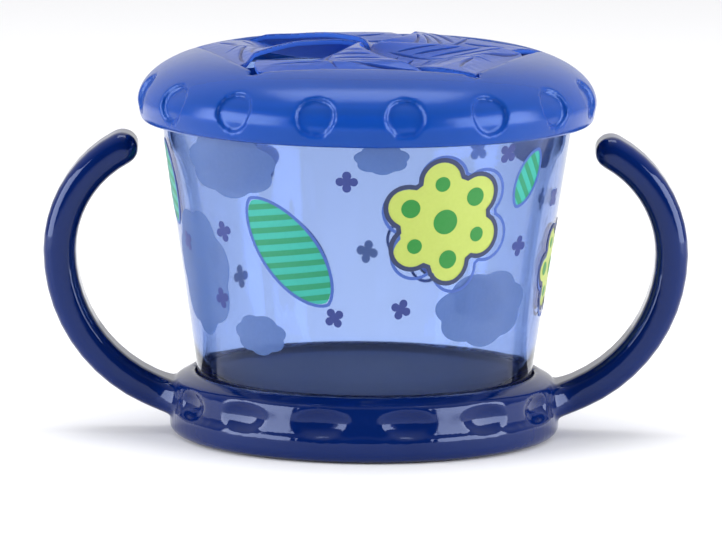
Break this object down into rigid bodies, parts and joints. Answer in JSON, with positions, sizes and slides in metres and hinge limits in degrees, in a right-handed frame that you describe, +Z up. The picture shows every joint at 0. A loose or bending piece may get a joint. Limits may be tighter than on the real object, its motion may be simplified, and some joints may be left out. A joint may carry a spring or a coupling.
{
  "type": "toddler snack container",
  "caption": "Tapered clear snack cup in a two-handled base ring, with a soft press-on lid whose pinwheel flaps let a small hand in and keep the food from spilling.",
  "frame": {"origin": "on the table under the middle of the cup", "axes": "+Z up along the cup's axis, +X towards the right handle, -Y towards the front"},
  "size_m": [0.141, 0.1002, 0.0865],
  "materials": {
    "base": "glossy moulded navy plastic",
    "cup": "clear plastic tinted violet-blue",
    "lid": "soft translucent blue rubber, satin",
    "flap": "soft translucent blue rubber, satin"
  },
  "bodies": {
    "base": {"handle_base": "base"},
    "cup": {"cup": "cup"},
    "lid": {"lid": "lid"},
    "front_flap": {"front_flap": "flap"},
    "right_flap": {"right_flap": "flap"},
    "back_right_flap": {"back_right_flap": "flap"},
    "back_left_flap": {"back_left_flap": "flap"},
    "left_flap": {"left_flap": "flap"}
  },
  "joints": [
    {"name": "ring_pull", "type": "slide", "parent": "base", "child": "cup", "axis": [0, 0, 1], "range_m": [0, 0.08]},
    {"name": "lid_lift", "type": "slide", "parent": "cup", "child": "lid", "axis": [0, 0, 1], "range_m": [0, 0.05]},
    {"name": "front_flap_hinge", "type": "hinge", "parent": "lid", "child": "front_flap", "pos_m": [-0.00072, -0.03162, 0.0825], "axis": [-0.9997, 0.0227, 0], "range_deg": [-25, 70], "stiffness_Nm_per_rad": 0.02},
    {"name": "right_flap_hinge", "type": "hinge", "parent": "lid", "child": "right_flap", "pos_m": [0.02985, -0.01046, 0.0825], "axis": [-0.3305, -0.9438, 0], "range_deg": [-25, 70], "stiffness_Nm_per_rad": 0.02},
    {"name": "back_right_flap_hinge", "type": "hinge", "parent": "lid", "child": "back_right_flap", "pos_m": [0.01917, 0.02516, 0.0825], "axis": [0.7955, -0.606, 0], "range_deg": [-25, 70], "stiffness_Nm_per_rad": 0.02},
    {"name": "back_left_flap_hinge", "type": "hinge", "parent": "lid", "child": "back_left_flap", "pos_m": [-0.01801, 0.02601, 0.0825], "axis": [0.8221, 0.5693, 0], "range_deg": [-25, 70], "stiffness_Nm_per_rad": 0.02},
    {"name": "left_flap_hinge", "type": "hinge", "parent": "lid", "child": "left_flap", "pos_m": [-0.0303, -0.00909, 0.0825], "axis": [-0.2874, 0.9578, 0], "range_deg": [-25, 70], "stiffness_Nm_per_rad": 0.02}
  ]
}
